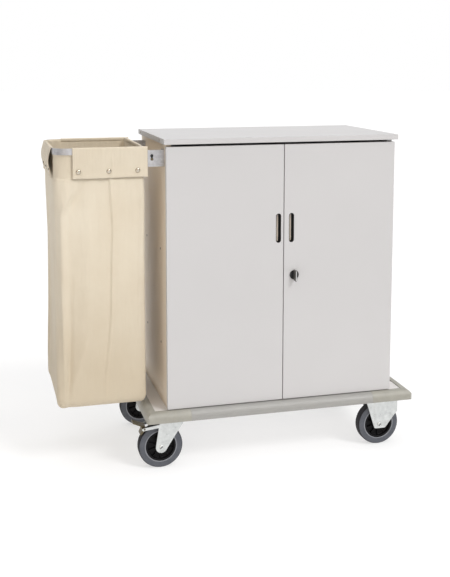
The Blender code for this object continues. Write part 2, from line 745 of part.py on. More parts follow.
def swivel_caster(tag, y):
    """A braked swivel caster whose wheel trails towards -X."""
    head = (SWIVEL_X, y, 0)
    centre = (SWIVEL_X - TRAIL, y, WHEEL_RADIUS)
    plate_low = (SWIVEL_X - 0.0525, y - 0.0425, PLATE_TOP - PLATE_THICK)
    plate_high = (SWIVEL_X + 0.0525, y + 0.0425, PLATE_TOP)
    plate = box(f"caster_plate_{tag}", plate_low, plate_high, "zinc")
    cut(plate, rod("plate_hole", 0.0063, 0.18, 0.20, head, "Z", "zinc"))
    race = [(0.0085, 0.1840), (0.0270, 0.1840), (0.0290, 0.1870), (0.0270, 0.1901), (0.0085, 0.1901)]
    turned(f"swivel_race_{tag}", race, head, "Z", "zinc", segments=24)
    kingpin_profile = [
        (0, 0.1590),
        (0.0105, 0.1590),
        (0.0105, 0.1676),
        (0.0060, 0.1676),
        (0.0060, 0.1930),
        (0, 0.1930),
    ]
    turned(f"kingpin_{tag}", kingpin_profile, head, "Z", "zinc", segments=6)
    pin_point = (centre[0] - 0.060, y, WHEEL_RADIUS + 0.0715)
    swivel = pivot(f"swivel_axis_{tag}", head)
    attach(swivel, swivel_fork(tag, centre, pin_point), axle(tag, centre))
    wheel(tag, centre, pivot(f"wheel_axis_{tag}", centre, swivel))
    attach(pivot(f"pedal_axis_{tag}", pin_point, swivel), brake_pedal(tag, centre, pin_point))


def fixed_caster(tag, y):
    """A fixed caster: plate and ribbed V-shaped legs in one piece."""
    centre = (FIXED_X, y, WHEEL_RADIUS)
    top = PLATE_TOP - WHEEL_RADIUS
    steps = [
        (-0.080, LEG_NEAR),
        (-0.024, LEG_NEAR),
        (-0.017, LEG_FAR),
        (0.020, LEG_FAR),
        (0.052, LEG_NEAR),
        (0.090, LEG_NEAR),
    ]
    outline = [
        (-0.0600, top - 0.001),
        (-0.0200, -0.0125),
        (-0.0160, -0.0140),
        (0.0200, -0.0140),
        (0.0240, -0.0120),
        (0.0725, 0.0460),
        (0.0725, top - 0.001),
    ]
    fork = leg_pair(f"fixed_fork_{tag}", steps, outline, centre)
    plate_low = (FIXED_X - 0.0620, y - 0.0425, PLATE_TOP - PLATE_THICK)
    plate_high = (FIXED_X + 0.0760, y + 0.0425, PLATE_TOP)
    join(fork, box("fixed_plate", plate_low, plate_high, "zinc"))
    cut(fork, axle_hole(centre))
    axle(tag, centre)
    wheel(tag, centre, pivot(f"wheel_axis_{tag}", centre))


def casters():
    for tag, side in (("front", -1), ("rear", 1)):
        swivel_caster(f"left_{tag}", side * CASTER_Y)
        fixed_caster(f"right_{tag}", side * CASTER_Y)


clear_scene()
base()
cabinet()
doors()
bag_unit()
casters()
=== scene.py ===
import math

import bmesh
import bpy
import numpy as np
from mathutils import Matrix, Vector


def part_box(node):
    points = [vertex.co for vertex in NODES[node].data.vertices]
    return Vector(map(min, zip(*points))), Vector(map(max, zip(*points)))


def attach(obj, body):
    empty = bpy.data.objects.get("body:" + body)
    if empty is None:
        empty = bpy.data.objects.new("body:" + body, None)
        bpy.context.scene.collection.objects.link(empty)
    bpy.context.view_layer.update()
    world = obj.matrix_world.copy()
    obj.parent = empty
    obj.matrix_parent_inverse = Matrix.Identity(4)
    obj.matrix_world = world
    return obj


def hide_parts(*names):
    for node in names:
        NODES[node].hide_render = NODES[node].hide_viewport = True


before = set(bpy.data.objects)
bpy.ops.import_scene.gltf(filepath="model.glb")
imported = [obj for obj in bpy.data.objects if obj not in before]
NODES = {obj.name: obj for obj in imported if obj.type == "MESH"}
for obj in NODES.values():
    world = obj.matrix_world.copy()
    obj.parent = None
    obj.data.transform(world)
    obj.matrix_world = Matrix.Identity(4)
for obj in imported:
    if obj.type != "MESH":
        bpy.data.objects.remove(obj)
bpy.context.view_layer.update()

# The housekeeping cart's looks: materials, fine wheels and fasteners, and the canvas bag, in metres,
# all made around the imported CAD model.

# Places read from the CAD model
BAG_LOW, BAG_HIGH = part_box("bag")
BAR_LOW, BAR_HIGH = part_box("bag_frame")

# The bag: its cloth, the frame bar that it hangs on, its rim, the hem line that the flaps reach down to,
# the place of the middle seam along the front wall, and how far the cloth below the hem line stands out
CLOTH = 0.0016
BAR_THICK = 0.004
BAR_LEFT = BAR_LOW.x
BAR_RIGHT = BAG_HIGH.x - 0.0080
BAR_SIDE = BAG_HIGH.y - 0.0035
RIM = BAR_HIGH.z
HEM = BAG_LOW.z + 0.810
SEAM_SHARE = 0.585
FOLD_BAND = 0.0022

WHEELS = ("left_front", "left_rear", "right_front", "right_rear")
SWIVELS = ("left_front", "left_rear")


# Material building blocks


def srgb(red, green, blue):
    """Linear colour of an 8-bit sRGB colour."""
    shares = [value / 255 for value in (red, green, blue)]
    return (*[c / 12.92 if c < 0.04045 else ((c + 0.055) / 1.055) ** 2.4 for c in shares], 1.0)


def link(tree, source, target):
    tree.links.new(source, target)


def preset(made, inputs):
    """Sets a node's inputs to constants."""
    for name, value in inputs.items():
        made.inputs[name].default_value = value


def node(tree, kind, inputs=None, **properties):
    """A node with its named properties and constant inputs set."""
    made = tree.nodes.new(kind)
    for name, value in properties.items():
        setattr(made, name, value)
    preset(made, inputs or {})
    return made


def place_vector(tree, stretch=(1, 1, 1), source="Object"):
    """The piece's own coordinates in metres, scaled along each axis."""
    coordinates = node(tree, "ShaderNodeTexCoord")
    mapping = node(tree, "ShaderNodeMapping", {"Scale": stretch})
    link(tree, coordinates.outputs[source], mapping.inputs["Vector"])
    return mapping.outputs["Vector"]


def noise(tree, vector, scale, detail=3.0, roughness=0.5):
    made = node(tree, "ShaderNodeTexNoise", {"Scale": scale, "Detail": detail, "Roughness": roughness})
    link(tree, vector, made.inputs["Vector"])
    return made.outputs["Fac"]


def ramp(tree, amount, low, high, start=0.3, end=0.7):
    """A colour that runs from low to high."""
    made = node(tree, "ShaderNodeValToRGB")
    made.color_ramp.elements[0].position = start
    made.color_ramp.elements[1].position = end
    made.color_ramp.elements[0].color = low
    made.color_ramp.elements[1].color = high
    link(tree, amount, made.inputs["Fac"])
    return made.outputs["Color"]


def spread(tree, amount, low, high, start=0.0, end=1.0, kind="LINEAR"):
    """A number that runs from low to high."""
    limits = {"From Min": start, "From Max": end, "To Min": low, "To Max": high}
    made = node(tree, "ShaderNodeMapRange", limits, interpolation_type=kind)
    link(tree, amount, made.inputs["Value"])
    return made.outputs["Result"]


def combine(tree, operation, *values):
    """A number worked out from others, each of them a constant or an output."""
    made = node(tree, "ShaderNodeMath", operation=operation)
    for socket, value in zip(made.inputs, values):
        if isinstance(value, (int, float)):
            socket.default_value = value
        else:
            link(tree, value, socket)
    return made.outputs["Value"]


def mix_colours(tree, amount, first, second, blend="MIX"):
    made = node(tree, "ShaderNodeMix", data_type="RGBA", blend_type=blend)
    for name, value in (("Factor", amount), ("A", first), ("B", second)):
        kind = "VALUE" if name == "Factor" else "RGBA"
        socket = next(s for s in made.inputs if s.name == name and s.type == kind)
        if isinstance(value, (int, float, tuple)):
            socket.default_value = value
        else:
            link(tree, value, socket)
    return next(s for s in made.outputs if s.type == "RGBA")


def bump(tree, height, strength, distance, under=None):
    made = node(tree, "ShaderNodeBump", {"Strength": strength, "Distance": distance})
    link(tree, height, made.inputs["Height"])
    if under is not None:
        link(tree, under, made.inputs["Normal"])
    return made.outputs["Normal"]


def new_material(name, inputs=None):
    """A material, its node tree and its shader with constant inputs set."""
    made = bpy.data.materials.new(name)
    made.use_nodes = True
    shader = made.node_tree.nodes["Principled BSDF"]
    preset(shader, inputs or {})
    return made, made.node_tree, shader


def darkened(colour, share):
    """A colour with its brightness scaled."""
    return tuple(c * share for c in colour[:3]) + (1.0,)


def finish_shader(tree, shader, colour, roughness, normal):
    link(tree, colour, shader.inputs["Base Color"])
    link(tree, roughness, shader.inputs["Roughness"])
    link(tree, normal, shader.inputs["Normal"])


# Materials


def laminate(name, base, grain=1100.0):
    """Matt melamine on board: a fine pebbled skin and barely uneven tone."""
    made, tree, shader = new_material(name)
    vector = place_vector(tree)
    cloud = noise(tree, vector, 2.2, 4.0)
    tone = ramp(tree, cloud, darkened(base, 0.965), base)
    fleck = noise(tree, vector, 260.0, 2.0)
    tone = mix_colours(tree, spread(tree, fleck, 0.0, 0.06), tone, (0.55, 0.53, 0.50, 1.0))
    pebble = noise(tree, vector, grain, 2.0)
    rough = spread(tree, noise(tree, vector, 14.0), 0.42, 0.56)
    soft = bump(tree, noise(tree, vector, 9.0, 1.0), 0.06, 0.004)
    finish_shader(tree, shader, tone, rough, bump(tree, pebble, 0.12, 0.0003, soft))
    return made


def extruded_plastic(name, base):
    """Satin extrusion with faint draw lines along its length."""
    made, tree, shader = new_material(name)
    lines = node(tree, "ShaderNodeTexWave", {"Scale": 180.0, "Distortion": 0.4}, bands_direction="Z")
    vector = place_vector(tree)
    link(tree, vector, lines.inputs["Vector"])
    scuff = noise(tree, place_vector(tree, (6, 6, 60)), 3.0, 5.0, 0.65)
    tone = ramp(tree, scuff, darkened(base, 0.86), base, 0.25, 0.6)
    rough = spread(tree, scuff, 0.52, 0.36)
    fine = bump(tree, lines.outputs["Fac"], 0.25, 0.0002)
    finish_shader(tree, shader, tone, rough, bump(tree, noise(tree, vector, 700.0), 0.08, 0.0002, fine))
    return made


def moulded_plastic(name, base, light, low_rough=0.38, high_rough=0.55, grain=900.0, depth=0.2, shine=0.5):
    """Moulded plastic or rubber with an even spark-eroded grain."""
    made, tree, shader = new_material(name, {"Specular IOR Level": shine})
    vector = place_vector(tree)
    tone = ramp(tree, noise(tree, vector, 24.0, 5.0, 0.6), base, light)
    rough = spread(tree, noise(tree, vector, 60.0), low_rough, high_rough)
    finish_shader(tree, shader, tone, rough, bump(tree, noise(tree, vector, grain, 2.0), depth, 0.0003))
    return made


def plated_steel(name, base, light, rough_low, rough_high, spangle=0.0):
    """Plated steel: cloudy reflection, fine rolling lines and, when galvanised, zinc flowers."""
    made, tree, shader = new_material(name, {"Metallic": 0.92})
    vector = place_vector(tree)
    clouds = noise(tree, vector, 38.0, 5.0, 0.6)
    tone = ramp(tree, clouds, base, light, 0.3, 0.75)
    if spangle:
        cells = node(tree, "ShaderNodeTexVoronoi", {"Scale": 110.0}, feature="F1")
        link(tree, vector, cells.inputs["Vector"])
        flowers = ramp(tree, cells.outputs["Color"], (0.66, 0.66, 0.67, 1), (1, 1, 1, 1), 0.1, 0.9)
        tone = mix_colours(tree, spangle, tone, flowers, "MULTIPLY")
    rough = spread(tree, clouds, rough_low, rough_high)
    rolled = noise(tree, place_vector(tree, (1, 1, 14)), 160.0, 4.0, 0.6)
    finish_shader(tree, shader, tone, rough, bump(tree, rolled, 0.08, 0.0003))
    return made


def canvas(name, base, shade):
    """Plain-weave cotton canvas: threads across and down, slubs, slightly uneven dye and soft creases.

    Its tone has painted shade: it darkens towards the bag's bottom, where the light falls off, and above the
    hem line, in the shade of the bar and flaps."""
    soft = {"Sheen Weight": 0.18, "Sheen Roughness": 0.5, "Specular IOR Level": 0.25}
    made, tree, shader = new_material(name, soft)
    thread = place_vector(tree, source="UV")
    threads = []
    for direction in ("X", "Y"):
        spacing = {"Scale": 330.0, "Distortion": 0.6, "Detail Scale": 2.0}
        wave = node(tree, "ShaderNodeTexWave", spacing, bands_direction=direction)
        link(tree, thread, wave.inputs["Vector"])
        threads.append(wave.outputs["Fac"])
    weave = combine(tree, "MULTIPLY", *threads)
    slub_across = noise(tree, place_vector(tree, (40, 900, 1), "UV"), 1.0, 3.0)
    slub_down = noise(tree, place_vector(tree, (900, 40, 1), "UV"), 1.0, 3.0)
    slubs = combine(tree, "ADD", slub_across, slub_down)
    vector = place_vector(tree)
    cloud = noise(tree, vector, 5.0, 4.0, 0.55)
    tone = ramp(tree, cloud, shade, base, 0.25, 0.65)
    yarn = spread(tree, slubs, 0.10, -0.04)
    tone = mix_colours(tree, yarn, tone, (0.42, 0.34, 0.24, 1.0))
    place = node(tree, "ShaderNodeSeparateXYZ")
    link(tree, vector, place.inputs["Vector"])
    height = place.outputs["Z"]
    # Painted shade: the light's falloff towards the bottom and the shade above the hem line, mixed towards a
    # dark brown
    painted_bottom_shade = spread(tree, height, 0.42, 0.0, BAG_LOW.z, BAG_HIGH.z - 0.25, "SMOOTHSTEP")
    painted_hem_shade = spread(tree, height, 0.0, 0.12, HEM - 0.012, HEM + 0.004)
    painted_shade = combine(tree, "ADD", painted_bottom_shade, painted_hem_shade)
    tone = mix_colours(tree, painted_shade, tone, (0.40, 0.31, 0.19, 1.0))
    rough = spread(tree, weave, 0.95, 0.82)
    creases = noise(tree, place_vector(tree, (1, 1, 0.16)), 15.0, 3.0, 0.6)
    creased = bump(tree, creases, 0.45, 0.016)
    crumple = bump(tree, noise(tree, place_vector(tree, (1, 1, 0.5)), 34.0, 3.0, 0.55), 0.34, 0.004, creased)
    slubbed = bump(tree, slubs, 0.16, 0.0008, crumple)
    finish_shader(tree, shader, tone, rough, bump(tree, weave, 0.55, 0.0004, slubbed))
    return made


def tyre_rubber(name):
    """Grey non-marking rubber with a little dust on it."""
    made, tree, shader = new_material(name)
    vector = place_vector(tree)
    dust = noise(tree, vector, 55.0, 6.0, 0.65)
    tone = ramp(tree, dust, srgb(74, 77, 85), srgb(94, 97, 104), 0.3, 0.8)
    rough = spread(tree, dust, 0.55, 0.78)
    finish_shader(tree, shader, tone, rough, bump(tree, noise(tree, vector, 1200.0), 0.15, 0.0002))
    return made


BOARD = laminate("board_laminate", srgb(203, 202, 203))
# The left end board: the same laminate made warmer and lighter, as painted warm light bounced onto it from
# the canvas bag
BOUNCE_PAINTED_BOARD = laminate("end_board_painted_bounce", srgb(240, 226, 206))
DECK = laminate("deck_laminate", srgb(222, 219, 217))
RAIL = extruded_plastic("bumper_rail", srgb(158, 157, 154))
CORNER = moulded_plastic("bumper_corner", srgb(150, 148, 139), srgb(162, 160, 151))
GALVANISED = plated_steel("galvanised_steel", srgb(184, 183, 185), srgb(214, 213, 215), 0.34, 0.5, 0.5)
ZINC = plated_steel("zinc_steel", srgb(190, 193, 192), srgb(226, 228, 227), 0.22, 0.36)
CHROME = plated_steel("stud_nickel", srgb(176, 166, 150), srgb(214, 206, 192), 0.10, 0.18)
BRONZE = plated_steel("pedal_steel", srgb(92, 84, 66), srgb(124, 113, 92), 0.3, 0.5)
RUBBER = tyre_rubber("tyre_rubber")
TREAD = moulded_plastic("tread_rubber", srgb(36, 36, 40), srgb(50, 50, 54), 0.65, 0.8, shine=0.25)
BEAD = moulded_plastic("bead_rubber", srgb(120, 123, 130), srgb(140, 142, 148), 0.5, 0.65)
HUB = moulded_plastic("hub_plastic", srgb(8, 8, 10), srgb(14, 14, 17), 0.45, 0.6, shine=0.18)
BLACK = moulded_plastic("black_plastic", srgb(14, 14, 16), srgb(26, 26, 28), 0.28, 0.42)
KNOB = moulded_plastic("knob_plastic", srgb(74, 73, 71), srgb(90, 88, 85), 0.3, 0.45, 500.0, 0.3)
CUP_FLOOR = moulded_plastic("pull_floor", srgb(222, 210, 194), srgb(234, 222, 207), 0.5, 0.6)
# A painted highlight along the edge of the knob's grip blade
KNOB_PAINTED_HIGHLIGHT = plated_steel("knob_edge_painted_highlight", srgb(205, 205, 205), srgb(235, 235, 235), 0.25, 0.35)
FABRIC = canvas("bag_canvas", srgb(228, 218, 199), srgb(220, 208, 187))
THREAD = moulded_plastic("bag_thread", srgb(222, 210, 188), srgb(236, 226, 208), 0.7, 0.8, 2500.0)
SCREW_HEAD = plated_steel("screw_head", srgb(120, 112, 100), srgb(170, 160, 146), 0.3, 0.5)

# The material of each CAD node, by how its name starts, and the width of its softened edges
CAD_LOOKS = {
    "bumper_corner": (CORNER, 0.0012),
    "bumper_rail": (RAIL, 0),
    "base_deck": (DECK, 0.0008),
    # the left end board carries the painted warm bounce light from the bag
    "cabinet_side_left": (BOUNCE_PAINTED_BOARD, 0.0010),
    "cabinet": (BOARD, 0.0010),
    "shelf": (BOARD, 0.0008),
    "door": (BOARD, 0.0010),
    "bag_bracket": (GALVANISED, 0.0005),
    "bag_frame": (GALVANISED, 0.0006),
    "pull_cup": (BLACK, 0),
    "lock": (BLACK, 0),
    "hinge": (ZINC, 0),
    "caster_plate": (ZINC, 0),
    "swivel_fork": (ZINC, 0.0005),
    "swivel_race": (ZINC, 0),
    "kingpin": (ZINC, 0),
    "fixed_fork": (ZINC, 0.0005),
    "axle": (ZINC, 0),
    "brake_pedal": (BRONZE, 0.0006),
}


# Mesh building blocks


def smoothing(degrees):
    """Geometry nodes that shade a mesh smooth except over edges sharper than an angle."""
    tree = bpy.data.node_groups.new(f"smooth_below_{degrees}", "GeometryNodeTree")
    tree.interface.new_socket("Geometry", in_out="INPUT", socket_type="NodeSocketGeometry")
    tree.interface.new_socket("Geometry", in_out="OUTPUT", socket_type="NodeSocketGeometry")
    source = node(tree, "NodeGroupInput")
    angle = node(tree, "GeometryNodeInputMeshEdgeAngle")
    gentle = node(tree, "FunctionNodeCompare", {"B": math.radians(degrees)}, operation="LESS_THAN")
    faces = node(tree, "GeometryNodeSetShadeSmooth", domain="FACE")
    edges = node(tree, "GeometryNodeSetShadeSmooth", domain="EDGE")
    target = node(tree, "NodeGroupOutput")
    link(tree, angle.outputs["Unsigned Angle"], gentle.inputs["A"])
    link(tree, gentle.outputs["Result"], edges.inputs["Shade Smooth"])
    for before, after in ((source, faces), (faces, edges), (edges, target)):
        link(tree, before.outputs["Geometry"], after.inputs["Geometry"])
    return tree


# Turned and moulded parts are smooth over their facets; the forks keep their shallow pressed steps
SMOOTH_ROUND = smoothing(32)
SMOOTH_PRESSED = smoothing(4)


def dress_cad_nodes():
    """Gives every CAD node its material, softened edges and smooth round faces."""
    for name, obj in NODES.items():
        finish, width = next((CAD_LOOKS[start] for start in CAD_LOOKS if name.startswith(start)), (None, 0))
        if finish is not None:
            obj.data.materials.clear()
            obj.data.materials.append(finish)
        weld = obj.modifiers.new("weld", "WELD")
        weld.merge_threshold = 0.00001
        if width:
            edge = obj.modifiers.new("edge", "BEVEL")
            edge.width = width
            edge.segments = 2
            edge.limit_method = "ANGLE"
            edge.angle_limit = math.radians(38)
            edge.use_clamp_overlap = True
        smooth = obj.modifiers.new("smooth", "NODES")
        smooth.node_group = SMOOTH_PRESSED if "fork" in name else SMOOTH_ROUND
        flat = obj.modifiers.new("flat_faces", "WEIGHTED_NORMAL")
        flat.keep_sharp = True


def mesh_object(name, bm):
    """Turns a bmesh into an object in the scene."""
    mesh = bpy.data.meshes.new(name)
    bm.to_mesh(mesh)
    bm.free()
    obj = bpy.data.objects.new(name, mesh)
    bpy.context.scene.collection.objects.link(obj)
    return obj


def make_piece(name, bm, finish, body, smooth_angle=35):
    """Turns a bmesh into a named piece that rides on a CAD body."""
    bmesh.ops.recalc_face_normals(bm, faces=bm.faces)
    obj = mesh_object(name, bm)
    obj.data.shade_smooth()
    obj.data.set_sharp_from_angle(angle=math.radians(smooth_angle))
    obj.data.materials.append(finish)
    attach(obj, body)
    return obj


def turn(bm, profile, centre, axis, segments=96):
    """Turns (radius, along) points round an axis through centre; radius 0 closes the end."""
    along = Vector(axis).normalized()
    across = along.orthogonal().normalized()
    other = along.cross(across)
    centre = Vector(centre)
    rings = []
    for radius, distance in profile:
        middle = centre + along * distance
        if radius == 0:
            rings.append([bm.verts.new(middle)])
            continue
        ring = []
        for i in range(segments):
            angle = 2 * math.pi * i / segments
            ring.append(bm.verts.new(middle + (across * math.cos(angle) + other * math.sin(angle)) * radius))
        rings.append(ring)
    pairs = list(zip(rings, rings[1:]))
    if len(rings[0]) > 1 and len(rings[-1]) > 1:
        pairs.append((rings[-1], rings[0]))
    for a, b in pairs:
        for i in range(segments):
            j = (i + 1) % segments
            if len(a) == 1:
                bm.faces.new((a[0], b[i], b[j]))
            elif len(b) == 1:
                bm.faces.new((a[i], a[j], b[0]))
            else:
                bm.faces.new((a[i], a[j], b[j], b[i]))


def add_block(bm, centre, half, turn_by=None):
    """A small block with chamfered edges, centred on a point."""
    made = bmesh.ops.create_cube(bm, size=2.0)["verts"]
    bmesh.ops.scale(bm, vec=half, verts=made)
    edges = list({e for v in made for e in v.link_edges})
    result = bmesh.ops.bevel(bm, geom=edges, offset=min(half) * 0.35, segments=2, affect="EDGES")
    made = list({v for f in result["faces"] for v in f.verts} | {v for v in made if v.is_valid})
    if turn_by is not None:
        bmesh.ops.rotate(bm, cent=(0, 0, 0), matrix=turn_by, verts=made)
    bmesh.ops.translate(bm, vec=centre, verts=made)


def add_slab(bm, outline, offset):
    """A flat outline of points, thickened by an offset."""
    face = bm.faces.new([bm.verts.new(point) for point in outline])
    pushed = bmesh.ops.extrude_face_region(bm, geom=[face])
    moved = [g for g in pushed["geom"] if isinstance(g, bmesh.types.BMVert)]
    bmesh.ops.translate(bm, vec=offset, verts=moved)


def arc_points(centre, radius, start, end, steps):
    """Points on an arc in a plane, angles in degrees."""
    points = []
    for i in range(steps + 1):
        angle = math.radians(start + (end - start) * i / steps)
        points.append((centre[0] + radius * math.cos(angle), centre[1] + radius * math.sin(angle)))
    return points


def middle(node_name):
    """The middle of a CAD node's box."""
    low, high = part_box(node_name)
    return (low + high) / 2


# Wheels


def mirrored(half):
    """A half profile and its mirror image across the wheel's middle plane."""
    return half + [(radius, -along) for radius, along in reversed(half)]


def tyre(tag):
    """A grey tyre with a dark rounded tread, a shoulder step and a thin light bead at the hub."""
    low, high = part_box(f"tyre_{tag}")
    centre = (low + high) / 2
    tread = (high.z - low.z) / 2 - 0.0001
    half = [(0.0546, 0.0186), (0.0552, 0.0197), (0.0566, 0.0200), (0.0578, 0.0196), (0.0584, 0.0189)]
    half += [(0.0600, 0.0187), (0.0690, 0.0186), (0.0725, 0.0183)]
    half += arc_points((tread - 0.0068, 0.0112), 0.0068, 84, 20, 6)
    half += [(tread - 0.0001, 0.0075), (tread, 0.0030)]
    bm = bmesh.new()
    turn(bm, mirrored(half), centre, (0, 1, 0), 120)
    piece = make_piece(f"fine_tyre_{tag}", bm, RUBBER, f"wheel_{tag}", 50)
    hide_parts(f"tyre_{tag}")
    piece.data.materials.append(TREAD)
    piece.data.materials.append(BEAD)
    for face in piece.data.polygons:
        away = face.center - centre
        radius = math.hypot(away.x, away.z)
        if radius > tread - 0.0024:
            face.material_index = 1
        elif radius < 0.0585:
            face.material_index = 2


def hub(tag):
    """A black moulded centre: a thin web with ribs, a rim that the tyre sits on and a bearing boss."""
    centre = middle(f"hub_{tag}")
    half = [(0.0053, 0.0262), (0.0060, 0.0268), (0.0160, 0.0268), (0.0170, 0.0262), (0.0182, 0.0150)]
    half += [(0.0195, 0.0085), (0.0240, 0.0072), (0.0440, 0.0072), (0.0468, 0.0090), (0.0478, 0.0176)]
    half += [(0.0486, 0.0185), (0.0536, 0.0185), (0.0543, 0.0179)]
    bm = bmesh.new()
    turn(bm, mirrored(half), centre, (0, 1, 0), 96)
    ribs = 10
    for i in range(ribs):
        angle = 2 * math.pi * (i + 0.5) / ribs
        for side in (-1, 1):
            spot = Vector((math.cos(angle) * 0.0325, side * 0.0100, math.sin(angle) * 0.0325))
            rotation = Matrix.Rotation(-angle, 3, "Y")
            add_block(bm, centre + spot, (0.0155, 0.0042, 0.0014), rotation)
    piece = make_piece(f"fine_hub_{tag}", bm, HUB, f"wheel_{tag}", 30)
    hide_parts(f"hub_{tag}")


def bearing_caps(tag):
    """A pressed dust cap on each side of the hub's boss."""
    centre = middle(f"hub_{tag}")
    profile = [(0.0060, 0.0262), (0.0060, 0.0275), (0.0082, 0.0278)]
    profile += [(0.0128, 0.0278), (0.0140, 0.0269), (0.0140, 0.0262)]
    bm = bmesh.new()
    for side in (-1, 1):
        turn(bm, [(r, side * a) for r, a in profile], centre, (0, 1, 0), 48)
    make_piece(f"dust_cap_{tag}", bm, BLACK, f"wheel_{tag}")


def axle_rims_and_slots(tag, body):
    """The raised rim of each axle head, and its screwdriver slot as a thin black block inside the rim:
    painted shade.
    """
    low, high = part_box(f"axle_{tag}")
    centre = (low + high) / 2
    reach = (high.y - low.y) / 2
    rim = [(0.0088, 0.0), (0.0088, 0.0006), (0.0080, 0.0012), (0.0062, 0.0013), (0.0058, 0.0)]
    bm = bmesh.new()
    for side in (-1, 1):
        turn(bm, [(r, side * (reach + a - 0.0002)) for r, a in rim], centre, (0, 1, 0), 36)
    make_piece(f"axle_rim_{tag}", bm, ZINC, body)
    # The slot is a thin black block laid on the head: painted shade where a cut recess would be
    bm = bmesh.new()
    for side in (-1, 1):
        spot = centre + Vector((0, side * (reach + 0.0001), 0))
        add_block(bm, spot, (0.0058, 0.0004, 0.0016), Matrix.Rotation(math.radians(-38), 3, "Y"))
    make_piece(f"axle_slot_painted_shade_{tag}", bm, BLACK, body)


def wheels():
    for tag in WHEELS:
        tyre(tag)
        hub(tag)
        bearing_caps(tag)
        axle_rims_and_slots(tag, f"swivel_{tag}" if tag in SWIVELS else "cabinet")


# Screws and small fittings


def screws(name, spots, outward, finish, radius, height=0.0009):
    """One piece of equal low screw heads, each with a recess, on a flat face of the cabinet."""
    profile = [(0, 0.0), (radius, 0.0), (radius * 0.96, height * 0.5), (radius * 0.7, height * 0.9)]
    profile += [(radius * 0.45, height), (radius * 0.30, height * 0.35), (0, height * 0.25)]
    bm = bmesh.new()
    for spot in spots:
        turn(bm, profile, spot, outward, 28)
    make_piece(name, bm, finish, "cabinet")


def hex_head(bm, spot, outward, radius, height):
    """A hexagon head on a round washer."""
    washer = [(0, 0.0), (radius * 1.35, 0.0), (radius * 1.35, 0.0010), (radius, 0.0012), (0, 0.0012)]
    turn(bm, washer, spot, outward, 32)
    head = [(0, 0.0012), (radius, 0.0012), (radius, height * 0.88), (radius * 0.9, height), (0, height)]
    turn(bm, head, spot, outward, 6)


def end_screws():
    """Connecting screws where the shelves meet the end boards, and cover caps in the top's short edges."""
    ends = ((0, "left", (-1, 0, 0)), (1, "right", (1, 0, 0)))
    shelves = [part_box("shelf_lower"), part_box("shelf_upper")]
    for end, end_name, outward in ends:
        face_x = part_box(f"cabinet_side_{end_name}")[end].x
        spots = []
        for low, high in shelves:
            spots += [(face_x, y, (low.z + high.z) / 2) for y in (low.y + 0.095, high.y - 0.085)]
        screws(f"board_screws_{end_name}", spots, outward, SCREW_HEAD, 0.0046)
    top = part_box("cabinet_top")
    level = (top[0].z + top[1].z) / 2
    for end, end_name, outward in ends:
        spots = [(top[end].x, y, level) for y in (top[0].y + 0.085, top[1].y - 0.045)]
        screws(f"top_edge_screws_{end_name}", spots, outward, SCREW_HEAD, 0.0042)


def back_board_screws():
    """Screws round the edge of the back board."""
    low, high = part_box("cabinet_back")
    columns = 5
    spots = []
    for level in (low.z + 0.012, high.z - 0.012):
        for i in range(columns):
            spots.append((low.x + 0.03 + (high.x - low.x - 0.06) * i / (columns - 1), high.y, level))
    for x in (low.x + 0.010, high.x - 0.010):
        for i in range(1, columns):
            spots.append((x, high.y, low.z + (high.z - low.z) * i / columns))
    screws("back_board_screws", spots, (0, 1, 0), SCREW_HEAD, 0.0038)


def caster_bolts():
    """Four hexagon bolts through each top plate into the deck."""
    for tag in WHEELS:
        plate = f"caster_plate_{tag}" if tag in SWIVELS else f"fixed_fork_{tag}"
        low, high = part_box(plate)
        underside = high.z - 0.0030
        bm = bmesh.new()
        for x in (low.x + 0.0125, high.x - 0.0125):
            for y in (low.y + 0.0125, high.y - 0.0125):
                hex_head(bm, (x, y, underside), (0, 0, -1), 0.0060, 0.0046)
        make_piece(f"caster_bolts_{tag}", bm, ZINC, "cabinet")


def bracket_screws():
    """Two pan-head screws hold each bracket's flange to the end board."""
    for tag, inward in (("front", 1), ("back", -1)):
        low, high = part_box(f"bag_bracket_{tag}")
        flange_y = (low.y if inward < 0 else high.y) - inward * 0.016
        spots = [(high.x - 0.0030, flange_y, z) for z in (low.z + 0.014, high.z - 0.014)]
        screws(f"bracket_screws_{tag}", spots, (-1, 0, 0), ZINC, 0.0046, 0.0026)


def pull_floors():
    """The lighter pad at the bottom of each pull cup, set a little off its middle."""
    for side_name in ("left", "right"):
        low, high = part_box(f"pull_cup_{side_name}")
        centre = (low + high) / 2
        half_width = (high.x - low.x) / 2 - 0.0052
        half_height = (high.z - low.z) / 2 - 0.0032
        outline = []
        for end, start in ((1, 0), (-1, 180)):
            round_end = (centre.x - 0.0016, centre.z + end * (half_height - half_width))
            outline += arc_points(round_end, half_width, start, start + 180, 14)
        bm = bmesh.new()
        add_slab(bm, [(x, high.y - 0.0026, z) for x, z in outline], (0, 0.0008, 0))
        make_piece(f"pull_floor_{side_name}", bm, CUP_FLOOR, f"door_{side_name}")


